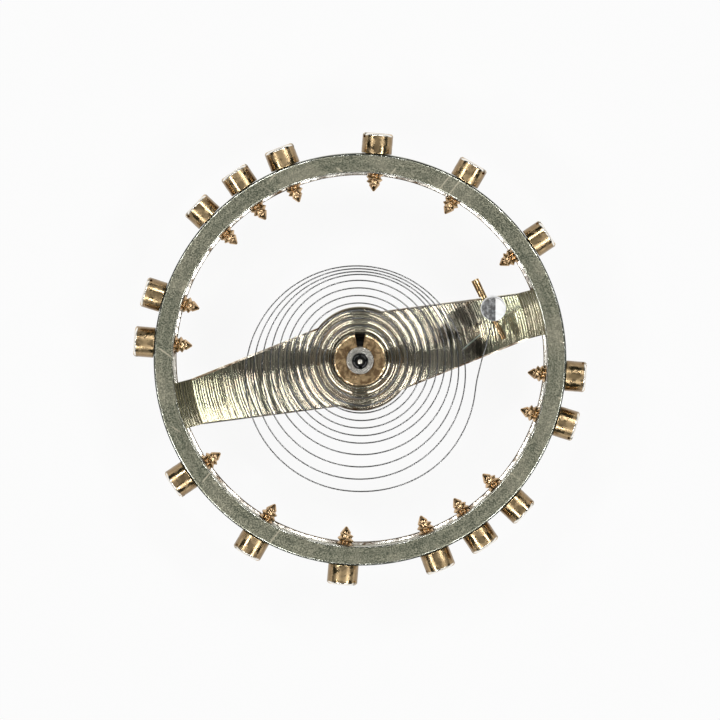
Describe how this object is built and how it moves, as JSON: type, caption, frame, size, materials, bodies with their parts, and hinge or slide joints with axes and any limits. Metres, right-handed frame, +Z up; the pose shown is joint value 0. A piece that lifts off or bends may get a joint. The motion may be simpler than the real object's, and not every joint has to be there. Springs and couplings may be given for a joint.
{
  "type": "balance wheel",
  "caption": "Screwed balance wheel of a lever watch on its pivoted staff, with roller table, safety roller, impulse jewel, flat hairspring, collet and stud.",
  "frame": {"origin": "end of the staff's lower pivot, on the staff's axis", "axes": "+Z up the staff towards the hairspring, +X 14.7 degrees clockwise of the arm that carries the stud's side, seen from above"},
  "size_m": [0.011, 0.011, 0.003],
  "materials": {
    "wheel": "satin nickel silver, turned on the hub and arm",
    "staff": "polished hardened steel",
    "rollers": "polished steel",
    "jewel": "polished synthetic ruby",
    "collet": "turned brass",
    "pins": "drawn brass",
    "spring": "hardened spring steel",
    "stud": "polished steel with a filed flat",
    "screws": "turned and slotted gilt brass"
  },
  "bodies": {
    "stud": {"hairspring_stud": "stud", "stud_pin": "pins", "hairspring": "spring"},
    "balance": {"balance_wheel": "wheel", "balance_staff": "staff", "roller_table": "rollers", "safety_roller": "rollers", "impulse_jewel": "jewel", "collet": "collet", "collet_pin": "pins", "timing_screw_01": "screws", "timing_screw_02": "screws", "timing_screw_03": "screws", "timing_screw_04": "screws", "timing_screw_05": "screws", "timing_screw_06": "screws", "timing_screw_07": "screws", "timing_screw_08": "screws", "timing_screw_09": "screws", "timing_screw_10": "screws", "timing_screw_11": "screws", "timing_screw_12": "screws", "timing_screw_13": "screws", "timing_screw_14": "screws", "timing_screw_15": "screws", "timing_screw_16": "screws"}
  },
  "joints": [
    {"name": "balance_swing", "type": "hinge", "parent": "stud", "child": "balance", "pos_m": [0, 0, 0], "axis": [0, 0, 1], "range_deg": [-300, 300], "stiffness_Nm_per_rad": 0.000000775, "deforming": ["hairspring"]}
  ]
}
